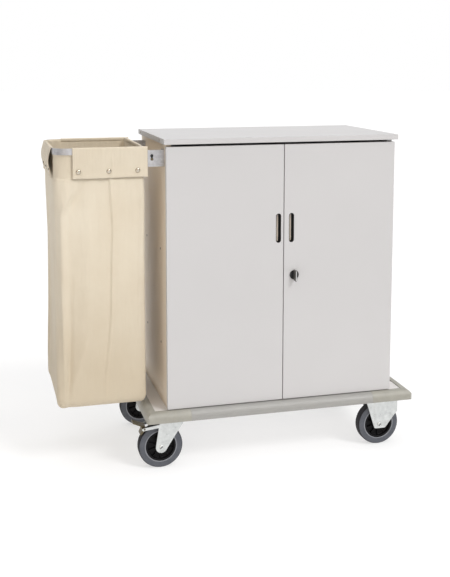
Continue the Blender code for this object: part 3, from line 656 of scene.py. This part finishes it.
def keyhole_details():
    """Black discs behind each bracket's keyhole as painted shadow in its depth, and the burnished head of
    the stud that sits in it.
    """
    for tag, side in (("front", -1), ("back", 1)):
        plate_low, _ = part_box(f"bag_bracket_{tag}")
        stud_x, stud_z = plate_low.x + 0.0146, plate_low.z + 0.026
        outward = (0, side, 0)
        bm = bmesh.new()
        # Two black discs in the keyhole's round entry and slot: painted shadow
        for rise, radius, proud in ((0.012, 0.0057, 0.00011), (0.006, 0.0040, 0.00008)):
            disc = [(0.0, 0.0), (radius, 0.0), (radius, 0.0002), (0.0, 0.0002)]
            turn(bm, disc, (stud_x, side * (BAR_SIDE + proud), stud_z + rise), outward, 32)
        make_piece(f"keyhole_shadow_{tag}", bm, BLACK, "bag_unit")
        bm = bmesh.new()
        head = [(0.0, -0.0002), (0.0048, -0.0002), (0.0044, 0.0006), (0.0026, 0.0011), (0.0, 0.0012)]
        turn(bm, head, (stud_x, side * BAR_HIGH.y, stud_z), outward, 32)
        make_piece(f"stud_head_{tag}", bm, BRONZE, "bag_unit")


def small_fittings():
    keyhole_details()
    end_screws()
    back_board_screws()
    caster_bolts()
    bracket_screws()
    pull_floors()


# Bag


def ease(amount, start, end):
    """0 before start, 1 after end and smooth between them."""
    share = np.clip((np.asarray(amount, float) - start) / (end - start), 0, 1)
    return share * share * (3 - 2 * share)


def wall_columns(front, side, left_corner, right_corner, seam_detail):
    """(part, share) of each column round the bag. Even parts are the front, right, back and left walls,
    and the odd part after each one is the corner at its end. The columns are closer at a middle seam."""
    counts = (front, right_corner, side, right_corner, front, left_corner, side, left_corner)
    seams = {0: SEAM_SHARE, 4: 1 - SEAM_SHARE} if seam_detail else {}
    columns = []
    for part, count in enumerate(counts):
        shares = list(np.linspace(0, 1, count + 1)[:-1])
        if part in seams:
            seam = seams[part]
            shares = [s for s in shares if not -0.045 < s - seam < 0.016]
            shares += [seam + d for d in (-0.040, -0.029, -0.020, -0.012, -0.005, 0.0, 0.0040, 0.014)]
        columns += [(part, s) for s in sorted(shares)]
    return columns


def bag_ring(columns, z):
    """Points and outward directions of the bag's wall at one height, without folds."""
    drop = RIM - z
    swell = float(ease(drop, 0.030, 0.170))
    depth = float(ease(drop, 0.30, 0.88))
    clear = BAR_THICK + 0.0006
    left = BAR_LEFT + clear - swell * 0.0050 - depth * 0.0025
    right = BAR_RIGHT - clear + swell * 0.0080
    side = BAR_SIDE - clear + swell * 0.0045
    left_radius = 0.047 + 0.030 * float(ease(drop, 0.1, 0.30)) - 0.054 * float(ease(drop, 0.55, 0.90))
    right_radius = 0.013 + 0.010 * float(ease(drop, 0.1, 0.5))
    radii = (right_radius, right_radius, left_radius, left_radius)
    centres = np.array(
        [
            (right - right_radius, right_radius - side),
            (right - right_radius, side - right_radius),
            (left + left_radius, side - left_radius),
            (left + left_radius, left_radius - side),
        ]
    )
    points, outward = [], []
    for part, share in columns:
        corner, on_corner = divmod(part, 2)
        angle = math.radians(90 * (corner - 1 + on_corner * share))
        direction = np.array([math.cos(angle), math.sin(angle)])
        start = end = centres[corner] + radii[corner] * direction
        if not on_corner:
            start = centres[corner - 1] + radii[corner - 1] * direction
        points.append((*(start + (end - start) * share), z))
        outward.append((*direction, 0.0))
    return np.array(points), np.array(outward)


def ridge(position, place, width):
    """A soft ridge, 1 at its place and 0 beyond a few widths."""
    return np.exp(-(((position - place) / width) ** 2))


def fold_height(points, columns, z):
    """How far the hanging cloth stands out of its plain shape: folds, a crease, waves and the hem line."""
    part = np.array([p for p, _ in columns])
    x, y = points[:, 0], points[:, 1]
    drop = RIM - z
    free = float(ease(drop, 0.085, 0.20))
    low = float(ease(z - BAG_LOW.z, 0.012, 0.16))
    long_walls = (part == 0) | (part == 4) | (part == 7) | (part == 5)
    # A fold at the front corner with a hollow beside it, a wide hollow and swell, and one by the brackets
    crest = BAR_LEFT + 0.030 + 0.040 * float(ease(z - HEM, -0.13, -0.02))
    crest -= 0.006 * float(ease(drop, 0.3, 0.9))
    lean = 0.030 * float(ease(drop, 0.50, 0.9))
    folds = 0.0052 * ridge(x, crest, 0.0070)
    folds -= 0.0062 * ridge(x, crest + 0.019, 0.0110)
    folds -= 0.0064 * ridge(x, BAR_LEFT + 0.068 - lean, 0.0220)
    folds += 0.0034 * ridge(x, BAR_LEFT + 0.118 - lean, 0.0300)
    folds -= 0.0026 * ridge(x, BAR_RIGHT - 0.050, 0.0350)
    # The crease that leaves the low left corner, and small waves along the long walls
    rise = z - BAG_LOW.z
    crease = BAR_LEFT + 0.020 + 0.32 * rise
    crease_fade = float(ease(rise, 0.03, 0.08) - ease(rise, 0.20, 0.34))
    folds += 0.0042 * ridge(x, crease + 0.014, 0.0130) * crease_fade
    folds += 0.0010 * np.sin((x - BAR_LEFT) * 47 + 5.1 * z)
    folds += 0.0005 * np.sin((x - BAR_LEFT) * 121 + 1.7 * z + np.sign(y) * 1.3)
    height = np.where(long_walls, folds * free * (0.25 + 0.75 * low), 0)
    # Waves on the end walls, the left one of them drawn in at its middle
    side_walls = (part == 2) | (part == 6)
    waves = 0.0020 * np.sin(y * 33 + 2.2 * z + 0.6) + 0.0012 * np.sin(y * 71 - 3.0 * z)
    waves = waves - np.where(x < BAR_LEFT + 0.02, 0.0085 * np.cos(np.pi * y / (2.4 * BAR_SIDE)), 0)
    height += np.where(side_walls, waves * free * low, 0)
    hem_line = float(ease(HEM + 0.0005 - z, 0.0, 0.0035)) * FOLD_BAND
    return height + hem_line


def seam_lap(columns, z):
    """The cloth right of each middle seam lies over the cloth left of it."""
    raised = np.zeros(len(columns))
    fade = (0.25 + 0.75 * float(ease(z - BAG_LOW.z, 0.02, 0.25))) * float(ease(RIM - z, 0.035, 0.09))
    for i, (part, share) in enumerate(columns):
        if part not in (0, 4):
            continue
        beyond = share - SEAM_SHARE if part == 0 else share - 1 + SEAM_SHARE
        if beyond > 0:
            raised[i] = 0.0042 * math.exp(-beyond / 0.17)
        else:
            raised[i] = 0.0057 * float(ease(beyond, -0.034, 0)) - 0.0015 * math.exp(beyond / 0.10)
    return raised * fade


def bag_levels(step):
    """Heights from the rim to where the bottom starts to turn in, closer together at the hem line."""
    levels = list(np.arange(RIM - 0.0002, BAG_LOW.z + 0.026, -step))
    levels = [z for z in levels if abs(z - HEM + 0.0015) > 0.008]
    levels += [HEM + d for d in (0.006, 0.0012, -0.0008, -0.0028, -0.008)]
    return sorted(levels, reverse=True)


def bag_wall(columns, step, plain=False):
    """The bag as rows of points: rim, walls, turned-in bottom edge and floor; plain leaves the folds out."""
    rows = []
    for z in bag_levels(step):
        points, outward = bag_ring(columns, z)
        if not plain:
            lift = fold_height(points, columns, z) + seam_lap(columns, z)
            depth = (RIM - z) / (RIM - BAG_LOW.z)
            lean = [depth * math.sin(math.pi * share) if part in (0, 4) else 0 for part, share in columns]
            points[:, 0] -= 0.014 * np.array(lean)
            points += outward * lift[:, None]
        rows.append(points)
    base = rows[-1]
    start = base[0][2]
    centre = base.mean(axis=0)
    bend_radius = 0.017
    bend_steps = 5
    for i in range(1, bend_steps + 1):
        angle = math.radians(90 * i / bend_steps)
        row = base - outward * bend_radius * (1 - math.cos(angle))
        row[:, 2] = start + (BAG_LOW.z + 0.0015 - start) * math.sin(angle)
        rows.append(row)
    edge = rows[-1]
    for share in (0.88, 0.74, 0.58, 0.40, 0.22, 0.08):
        row = centre + (edge - centre) * share
        row[:, 2] = edge[:, 2] - 0.006 * (1 - share)
        rows.append(row)
    return np.array(rows)


def add_grid(bm, rows, closed):
    """Faces between rows of points, each with its row and column; a closed grid also gets a floor."""
    verts = [[bm.verts.new(point) for point in row] for row in rows]
    count = rows.shape[1]
    faces = []
    for r, (a, b) in enumerate(zip(verts, verts[1:])):
        for i in range(count if closed else count - 1):
            j = (i + 1) % count
            faces.append((bm.faces.new((a[i], b[i], b[j], a[j])), r, i))
    floor = bm.faces.new(verts[-1]) if closed else None
    return faces, floor


SETTLE_FRAMES = 36
SAG_LIMIT = 0.005
HANGING_CLOTH = {
    "quality": 7,
    "mass": 0.35,
    "tension_stiffness": 25,
    "compression_stiffness": 25,
    "shear_stiffness": 4,
    "bending_stiffness": 0.6,
    "air_damping": 6,
    "shrink_min": -0.012,
    "vertex_group_mass": "rim",
    "use_pressure": True,
    "uniform_pressure_force": 0.25,
}


def settle(rows):
    """Cloth simulation of the plain bag hanging from its rim; returns how far each point moved."""
    count_rows, count = rows.shape[:2]
    rng = np.random.default_rng(7)
    start = rows.copy()
    fade = ease(np.arange(count_rows), 4, 14)[:, None, None]
    start += rng.normal(0, 0.0008, rows.shape) * fade
    bm = bmesh.new()
    add_grid(bm, start, True)
    obj = mesh_object("settling_bag", bm)
    pinned_rows = 4
    pinned = obj.vertex_groups.new(name="rim")
    pinned.add(list(range(count * pinned_rows)), 1.0, "REPLACE")
    cloth = obj.modifiers.new("cloth", "CLOTH")
    for name, value in HANGING_CLOTH.items():
        setattr(cloth.settings, name, value)
    cloth.collision_settings.use_collision = False
    scene = bpy.context.scene
    cloth.point_cache.frame_start = 1
    cloth.point_cache.frame_end = SETTLE_FRAMES
    for number in range(1, SETTLE_FRAMES + 1):
        scene.frame_set(number)
    shown = obj.evaluated_get(bpy.context.evaluated_depsgraph_get())
    flat = np.zeros(count_rows * count * 3, np.float32)
    shown.data.vertices.foreach_get("co", flat)
    moved = flat.reshape(count_rows, count, 3) - rows
    scene.frame_set(1)
    bpy.data.objects.remove(obj)
    return moved


def smooth_rows(field, passes):
    """Blurs a field over rows and round the bag, so that a coarse result has no facets."""
    for _ in range(passes):
        field = (np.roll(field, 1, 1) + 2 * field + np.roll(field, -1, 1)) / 4
        padded = np.concatenate([field[:1], field, field[-1:]])
        field = (padded[:-2] + 2 * padded[1:-1] + padded[2:]) / 4
    return field


def resample(field, places, wanted):
    """A field's values at other places along its first direction."""
    lines = [np.interp(wanted, places, line) for line in field.reshape(len(field), -1).T]
    return np.stack(lines, axis=1).reshape(len(wanted), *field.shape[1:])


def settled_offsets(columns, rows):
    """The simulated sag, carried from the coarse bag to the fine one and limited."""
    coarse_columns = wall_columns(22, 24, 6, 4, False)
    coarse = bag_wall(coarse_columns, 0.016, plain=True)
    moved = settle(coarse)
    moved[:, :, 2] -= np.mean(moved[:, :, 2], axis=1, keepdims=True)
    round_coarse = [part + share for part, share in coarse_columns]
    round_fine = [part + share for part, share in columns]
    closed = np.concatenate([moved, moved[:, :1]], axis=1).swapaxes(0, 1)
    moved = resample(closed, round_coarse + [8], round_fine).swapaxes(0, 1)
    down_coarse = np.linspace(0, 1, len(coarse))
    levels = coarse[:, :, 2].mean(axis=1)[::-1]
    down_fine = np.interp(rows[:, :, 2].mean(axis=1), levels, down_coarse[::-1])
    moved = smooth_rows(resample(moved, down_coarse, down_fine), 4)
    size = np.linalg.norm(moved, axis=2, keepdims=True)
    return moved * np.minimum(1, SAG_LIMIT / np.maximum(size, 1e-9))


def canvas_sheet(name, rows, closed):
    """A grid of points as canvas with UVs in metres; a closed one is a bag, thickened inwards."""
    bm = bmesh.new()
    uv = bm.loops.layers.uv.new("cloth")
    middle_line = rows.mean(axis=1)
    down = np.concatenate([[0], np.cumsum(np.linalg.norm(np.diff(middle_line, axis=0), axis=1))])
    halfway = rows[len(rows) // 2]
    steps = np.linalg.norm(np.roll(halfway, -1, 0) - halfway, axis=1)
    across = np.concatenate([[0], np.cumsum(steps)])
    faces, floor = add_grid(bm, rows, closed)
    for face, r, i in faces:
        for loop, (c, d) in zip(face.loops, ((i, r), (i, r + 1), (i + 1, r + 1), (i + 1, r))):
            loop[uv].uv = (across[c], down[d])
    if floor:
        for loop in floor.loops:
            loop[uv].uv = (loop.vert.co.x, loop.vert.co.y)
    obj = mesh_object(name, bm)
    obj.data.shade_smooth()
    obj.data.materials.append(FABRIC)
    thick = obj.modifiers.new("cloth_thickness", "SOLIDIFY")
    thick.thickness = CLOTH
    thick.offset = -1 if closed else 0
    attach(obj, "bag_unit")
    return obj


def bag_body():
    """The bag without its flaps, as a piece and as the rows of points that it is made from."""
    columns = wall_columns(46, 40, 26, 7, True)
    rows = bag_wall(columns, 0.0085)
    rows = rows + settled_offsets(columns, rows)
    body = canvas_sheet("bag_body", rows, True)
    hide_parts("bag")
    return body, columns, rows


# Length of a stitch, its half width, and the distance from one stitch to the next
STITCH = 0.0034
THREAD_HALF = 0.00045
STITCH_STEP = 0.0050


def stitch_line(bm, path, outward):
    """Short thread stitches along a path of points, standing a little proud of the cloth."""
    lengths = np.concatenate([[0], np.cumsum(np.linalg.norm(np.diff(path, axis=0), axis=1))])
    places = np.arange(int(lengths[-1] / STITCH_STEP)) * STITCH_STEP + 0.0006
    starts = resample(path, lengths, places)
    ends = resample(path, lengths, places + STITCH)
    outs = resample(np.array(outward, float), lengths, places)
    for start, end, out in zip(map(Vector, starts), map(Vector, ends), map(Vector, outs)):
        out.normalize()
        across = (end - start).cross(out).normalized() * THREAD_HALF
        sink = out * -0.0002
        crown = (start + end) / 2
        ring = [crown + across + sink, crown + out * 0.0007, crown - across + sink]
        verts = [bm.verts.new(point) for point in ring]
        tip_a, tip_b = bm.verts.new(start + sink), bm.verts.new(end + sink)
        for i in range(3):
            j = (i + 1) % 3
            bm.faces.new((verts[i], verts[j], tip_a))
            bm.faces.new((verts[j], verts[i], tip_b))


# The flaps: how far inside and over the bar each one reaches, the first point of its outer leg that is
# clear of the bend, how far down its studs are, and where each flap lies
FLAP_INSIDE = 0.0105
FIRST_CLEAR = 13
STUD_DROP = 0.080
LONG_SPAN = (BAG_LOW.x + 0.070, BAG_HIGH.x + 0.003)
END_SPAN = (-0.150, 0.150)
LONG_STUDS = (0.0185, 0.1225, 0.2240)
END_STUDS = (0.030, 0.150, 0.270)
FLAPS = {
    "front": dict(origin=(0, -BAR_SIDE), outward=(0, -1, 0), span=LONG_SPAN, studs=LONG_STUDS, bulge=0.0),
    "back": dict(origin=(0, BAR_SIDE), outward=(0, 1, 0), span=LONG_SPAN, studs=LONG_STUDS, bulge=0.0),
    "left": dict(origin=(BAR_LEFT, 0), outward=(-1, 0, 0), span=END_SPAN, studs=END_STUDS, bulge=0.009),
    "right": dict(origin=(BAR_RIGHT, 0), outward=(1, 0, 0), span=END_SPAN, studs=END_STUDS, bulge=0.0),
}


def flap_path(bulge):
    """The flap's section: (outward, height) from the inner leg, over the bar, down the outer leg."""
    path = [(-0.0056, RIM - FLAP_INSIDE), (-0.0061, RIM - 0.0065), (-0.0062, RIM - 0.0020)]
    for angle in range(20, 180, 20):
        turned = math.radians(angle)
        path.append((-0.0019 - 0.0043 * math.cos(turned), RIM - 0.0010 + 0.0024 * math.sin(turned)))
    length = RIM - HEM - 0.0020
    steps = 26
    for i in range(steps + 1):
        share = i / steps
        loose = bulge * math.sin(math.pi * min(share * 1.15, 1.0)) ** 1.3
        path.append((0.0024 + loose, RIM - 0.0018 - length * share))
    return path


def flap_rows(name, columns=120):
    """The flap as rows of points: hemmed edges, slack between the studs and a middle seam."""
    place = FLAPS[name]
    origin, outward = place["origin"], place["outward"]
    low, high = place["span"]
    along = np.linspace(low, high, columns)
    near_stud = np.max([ridge(along, low + stud, 0.020) for stud in place["studs"]], axis=0)
    middle_seam = ridge(along, low + (high - low) * 0.525, 0.0030)
    edge = np.minimum(along - low, high - along)
    hem_sides = 1 - ease(edge, 0.0085, 0.0105)
    rows = []
    for q, z in flap_path(place["bulge"]):
        drop = RIM - z
        outside = float(q > 0.002)
        hanging = float(ease(drop, 0.006, 0.06)) * outside
        hem = float(ease(drop, RIM - HEM - 0.0135, RIM - HEM - 0.0115)) * outside
        out = q + hanging * (0.0016 * (1 - near_stud) * ease(drop, 0.03, 0.10))
        out = out + outside * 0.0009 * np.maximum(hem_sides * float(ease(drop, 0.002, 0.01)), hem)
        out = out + hanging * 0.0020 * middle_seam
        out = out + hanging * 0.0005 * np.sin(along * 60 + z * 40)
        level = np.full(columns, z) - hanging * 0.0008 * np.sin(along * 23 + 1.0)
        x = origin[0] + outward[0] * out + abs(outward[1]) * along
        y = origin[1] + outward[1] * out + abs(outward[0]) * along
        rows.append(np.stack([x, y, level], axis=1))
    rows = np.array(rows)
    return rows if name in ("front", "right") else rows[:, ::-1]


def flap(name):
    """A flap with stitches down its side hems and along its lower one."""
    rows = flap_rows(name)
    piece = canvas_sheet(f"bag_flap_{name}", rows, False)
    outward = FLAPS[name]["outward"]
    bm = bmesh.new()
    shift = np.array(outward) * (CLOTH / 2)
    lines = [rows[FIRST_CLEAR:, 4], rows[FIRST_CLEAR:, -5], rows[-4, 3:-3]]
    for line in lines:
        stitch_line(bm, line + shift, [outward] * len(line))
    make_piece(f"flap_stitches_{name}", bm, THREAD, "bag_unit")
    return piece, rows


def press_studs(name, rows):
    """Domed nickel caps, each in a rolled ring, along the flap's lower edge."""
    outward = Vector(FLAPS[name]["outward"])
    low = FLAPS[name]["span"][0]
    axis = 0 if outward.y else 1
    row = np.argmin(np.abs(rows[FIRST_CLEAR:, 0, 2] - (RIM - STUD_DROP))) + FIRST_CLEAR
    ring = [(0.0, 0.0), (0.0086, 0.0), (0.0090, 0.0007), (0.0087, 0.0013)]
    dome = [(0.0082, 0.0022), (0.0071, 0.0034), (0.0054, 0.0044), (0.0030, 0.0050), (0.0, 0.0052)]
    bm = bmesh.new()
    for stud in FLAPS[name]["studs"]:
        column = int(np.argmin(np.abs(rows[row, :, axis] - (low + stud))))
        turn(bm, ring + dome, Vector(rows[row, column]) + outward * (CLOTH / 2), outward, 40)
    return make_piece(f"press_studs_{name}", bm, CHROME, "bag_unit", 60)


def body_stitches(columns, rows):
    """Twin rows of stitching down the middle seams and one along the hem line round the corners."""
    bm = bmesh.new()
    part = np.array([p for p, _ in columns])
    share = np.array([s for _, s in columns])
    heights = rows[:, :, 2].mean(axis=1)
    below = np.where((heights < HEM - 0.004) & (heights > BAG_LOW.z + 0.022))[0]
    for wall, seam, outward in ((0, SEAM_SHARE, (0, -1, 0)), (4, 1 - SEAM_SHARE, (0, 1, 0))):
        for beyond in (0.0105, 0.034):
            column = int(np.argmin(np.where(part == wall, np.abs(share - seam - beyond), 9)))
            stitch_line(bm, rows[below, column], [outward] * len(below))
    level = int(np.argmin(np.abs(heights - (HEM - 0.0075))))
    outward = bag_ring(columns, HEM)[1]
    for corner in (7, 5):
        chosen = np.where(part == corner)[0]
        stitch_line(bm, rows[level, chosen], outward[chosen])
    return make_piece("bag_stitches", bm, THREAD, "bag_unit")


def bag():
    """The canvas bag and its four flaps, with their stitches and press studs."""
    body, columns, rows = bag_body()
    threads = body_stitches(columns, rows)
    for name in FLAPS:
        piece, flap_points = flap(name)
        studs = press_studs(name, flap_points)


# Lock


def lock_knob():
    """A grey turn knob: a stepped round base with a raised grip blade, and a thin silver strip down the
    blade's front edge as a painted highlight.
    """
    low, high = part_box("lock_knob")
    centre = (low + high) / 2
    centre.z = middle("lock_housing").z
    face, front = high.y, low.y
    bm = bmesh.new()
    profile = [(0.0, 0.0), (0.0211, 0.0), (0.0215, 0.0008), (0.0215, 0.0050), (0.0206, 0.0062)]
    profile += [(0.0192, 0.0066), (0.0184, 0.0100), (0.0170, 0.0116), (0.0, 0.0120)]
    turn(bm, profile, (centre.x, face, centre.z), (0, -1, 0), 80)
    blade_half = 0.0034
    top, bottom = centre.z + 0.0195, centre.z - 0.0222
    outline = [
        (-blade_half, top - 0.004),
        (0, top),
        (blade_half, top - 0.004),
        (blade_half, bottom + 0.008),
        (0, bottom),
        (-blade_half, bottom + 0.008),
    ]
    foot = face - 0.010
    add_slab(bm, [(centre.x + x, foot, z) for x, z in outline], (0, front - foot, 0))
    knob = make_piece("fine_lock_knob", bm, KNOB, "lock_turn", 32)
    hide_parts("lock_knob")
    edge = knob.modifiers.new("edge", "BEVEL")
    edge.width = 0.0005
    edge.segments = 2
    # A silver strip on the blade's front edge: a painted highlight
    bm = bmesh.new()
    add_block(bm, (centre.x, front - 0.0002, (top + bottom) / 2 + 0.001), (0.0011, 0.0005, 0.0175))
    make_piece("knob_painted_highlight", bm, KNOB_PAINTED_HIGHLIGHT, "lock_turn")


# Studio


def sun(name, azimuth, elevation, strength, softness, colour=(1, 1, 1)):
    """A soft distant light; azimuth 0 is straight in front of the doors and 90 at the cabinet's end."""
    data = bpy.data.lights.new(name, "SUN")
    data.energy = strength
    data.angle = math.radians(softness)
    data.color = colour
    aside, rise = math.radians(azimuth), math.radians(elevation)
    level = math.cos(rise)
    to_light = Vector((math.sin(aside) * level, -math.cos(aside) * level, math.sin(rise)))
    light = bpy.data.objects.new(name, data)
    light.rotation_euler = to_light.to_track_quat("Z", "Y").to_euler()
    bpy.context.scene.collection.objects.link(light)


def surround():
    """White behind the object, an even light all round, and for reflections a room that is dark at the
    left, white in front and grey at the far right."""
    world = bpy.data.worlds.new("surround")
    bpy.context.scene.world = world
    world.use_nodes = True
    tree = world.node_tree
    even = tree.nodes["Background"]
    preset(even, {"Color": (1.0, 0.985, 0.97, 1.0), "Strength": 0.27})
    white = node(tree, "ShaderNodeBackground", {"Color": (1.0, 1.0, 1.0, 1.0)})
    direction = node(tree, "ShaderNodeSeparateXYZ")
    link(tree, place_vector(tree, source="Generated"), direction.inputs["Vector"])
    aside = combine(tree, "MULTIPLY_ADD", direction.outputs["X"], 0.5, 0.5)
    room = ramp(tree, aside, (0.10, 0.09, 0.08, 1), (1, 1, 1, 1), 0.22, 0.56)
    far_right = spread(tree, ramp(tree, aside, (0, 0, 0, 1), (1, 1, 1, 1), 0.68, 0.84), 0.0, 0.72)
    room = mix_colours(tree, far_right, room, (0.16, 0.16, 0.17, 1.0))
    mirrored = node(tree, "ShaderNodeBackground")
    link(tree, room, mirrored.inputs["Color"])
    path = node(tree, "ShaderNodeLightPath")
    shown = even
    for ray, other in (("Is Glossy Ray", mirrored), ("Is Camera Ray", white)):
        either = node(tree, "ShaderNodeMixShader")
        link(tree, path.outputs[ray], either.inputs["Fac"])
        link(tree, shown.outputs[0], either.inputs[1])
        link(tree, other.outputs[0], either.inputs[2])
        shown = either
    link(tree, shown.outputs[0], tree.nodes["World Output"].inputs["Surface"])


def paper_floor():
    """A pale floor that glows a little, so that it stays near white under the soft shadow."""
    bm = bmesh.new()
    bmesh.ops.create_circle(bm, cap_ends=True, radius=40.0, segments=96)
    floor = mesh_object("studio_floor", bm)
    glow = {"Emission Color": (1.0, 1.0, 1.0, 1.0), "Emission Strength": 0.60}
    paper, tree, shader = new_material("floor_paper", glow)
    vector = place_vector(tree)
    tone = ramp(tree, noise(tree, vector, 3.0), (0.40, 0.40, 0.405, 1), (0.42, 0.42, 0.42, 1))
    rough = spread(tree, noise(tree, vector, 40.0), 0.85, 0.95)
    finish_shader(tree, shader, tone, rough, bump(tree, noise(tree, vector, 400.0), 0.02, 0.0005))
    floor.data.materials.append(paper)


def studio():
    """A soft key from the front right, a softer light above and a warm fill from the front left."""
    sun("key", 34, 44, 1.38, 18)
    sun("top", 0, 86, 1.60, 80)
    sun("fill", -24, 18, 0.40, 30, (1.0, 0.84, 0.66))
    surround()
    paper_floor()
    scene = bpy.context.scene
    scene.view_settings.view_transform = "Standard"
    scene.view_settings.look = "None"


def camera():
    """Product-shot camera in front of the bag end; its vertical shift keeps uprights nearly upright."""
    yaw, pitch = math.radians(14.82), math.radians(6.83)
    place = Vector((-0.928, -3.440, 1.452))
    focal_in_long_sides = 1.6554
    data = bpy.data.cameras.new("camera")
    data.sensor_width = 36.0
    data.lens = focal_in_long_sides * data.sensor_width
    data.shift_x = 0.0086
    data.shift_y = -0.20
    data.clip_end = 200
    made = bpy.data.objects.new("camera", data)
    forward = Vector((math.sin(yaw) * math.cos(pitch), math.cos(yaw) * math.cos(pitch), -math.sin(pitch)))
    made.location = place
    made.rotation_euler = forward.to_track_quat("-Z", "Y").to_euler()
    bpy.context.scene.collection.objects.link(made)
    bpy.context.scene.camera = made


camera()
dress_cad_nodes()
wheels()
small_fittings()
lock_knob()
bag()
studio()
